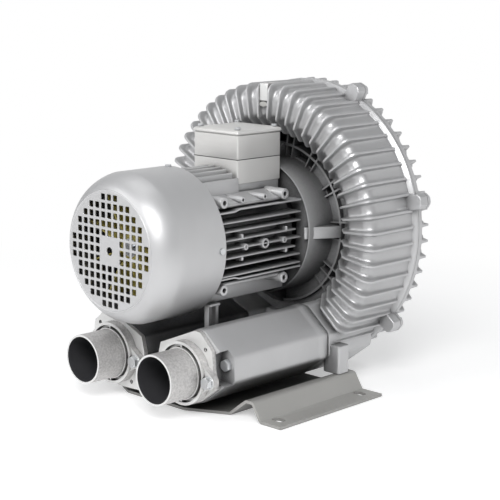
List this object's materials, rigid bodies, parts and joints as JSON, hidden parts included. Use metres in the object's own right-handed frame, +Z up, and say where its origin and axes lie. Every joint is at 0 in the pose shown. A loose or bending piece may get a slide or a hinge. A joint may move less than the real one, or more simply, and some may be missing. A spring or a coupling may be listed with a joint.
{
  "type": "side channel blower",
  "caption": "Side channel blower with a finned ring casing, flanged motor with grille cowl, terminal box, and port tubes on side-by-side silencers, on a pressed foot plate.",
  "frame": {"origin": "on the floor, in the middle of the four slots of the foot plate", "axes": "+Z up, +Y along the motor axis from the fan cowl and port mouths towards the channel casing, +X to the right seen from the fan cowl"},
  "size_m": [0.3876, 0.3879, 0.3765],
  "materials": {
    "silver_paint": "satin silver-grey paint on die-cast aluminium",
    "box_paint": "satin warm grey paint on cast aluminium",
    "painted_steel": "warm grey paint on pressed steel sheet",
    "raw_casting": "raw grainy cast aluminium",
    "cast_aluminium": "machined cast aluminium",
    "zinc_steel": "zinc plated",
    "shaft_steel": "ground steel",
    "bearing_steel": "polished bearing steel",
    "lamination_steel": "stacked electrical steel sheet, dark",
    "liner_steel": "galvanised sheet",
    "copper_winding": "enamelled copper wire, impregnated",
    "stud_brass": "bright brass",
    "fan_plastic": "olive yellow moulded plastic",
    "board_plastic": "dark moulded plastic",
    "gland_plastic": "black moulded plastic",
    "seal_rubber": "black rubber",
    "seal_paper": "pressed fibre gasket sheet",
    "foam": "dark acoustic foam"
  },
  "bodies": {
    "housing": {"foot_plate": "painted_steel", "foot_bolts": "zinc_steel", "motor_frame": "silver_paint", "stator_core": "lamination_steel", "stator_windings": "copper_winding", "front_bearing_outer_race": "bearing_steel", "front_bearing_balls": "bearing_steel", "rear_bearing_outer_race": "bearing_steel", "rear_bearing_balls": "bearing_steel", "wave_spring": "bearing_steel", "shaft_seal": "seal_rubber", "front_end_shield": "silver_paint", "fan_cowl": "silver_paint", "cowl_screws": "zinc_steel", "terminal_box_base": "silver_paint", "terminal_lid_gasket": "seal_rubber", "terminal_box_lid": "box_paint", "terminal_lid_screws": "zinc_steel", "terminal_board": "board_plastic", "terminal_studs": "stud_brass", "cable_gland": "gland_plastic", "blower_casing": "silver_paint", "casing_cover": "silver_paint", "casing_gasket": "seal_paper", "casing_bolts": "zinc_steel", "left_port_flange": "raw_casting", "left_port_bolts": "zinc_steel", "left_silencer_end_plate": "raw_casting", "left_silencer_body": "box_paint", "left_silencer_foam": "foam", "left_silencer_liner": "liner_steel", "left_silencer_gasket": "seal_paper", "left_silencer_tie_bolt": "zinc_steel", "left_plate_screws": "zinc_steel", "left_motor_support": "silver_paint", "right_port_flange": "raw_casting", "right_port_bolts": "zinc_steel", "right_silencer_end_plate": "raw_casting", "right_silencer_body": "box_paint", "right_silencer_foam": "foam", "right_silencer_liner": "liner_steel", "right_silencer_gasket": "seal_paper", "right_silencer_tie_bolt": "zinc_steel", "right_plate_screws": "zinc_steel", "right_motor_support": "silver_paint"},
    "rotor": {"motor_shaft": "shaft_steel", "rotor_core": "lamination_steel", "rotor_end_rings": "cast_aluminium", "front_bearing_inner_race": "bearing_steel", "rear_bearing_inner_race": "bearing_steel", "cooling_fan": "fan_plastic", "fan_clip": "bearing_steel", "impeller": "cast_aluminium", "impeller_key": "shaft_steel", "impeller_washer": "zinc_steel", "impeller_bolt": "zinc_steel"}
  },
  "joints": [
    {"name": "rotor_spin", "type": "hinge", "parent": "housing", "child": "rotor", "pos_m": [0, 0, 0.194], "axis": [0, 1, 0], "continuous": true}
  ]
}
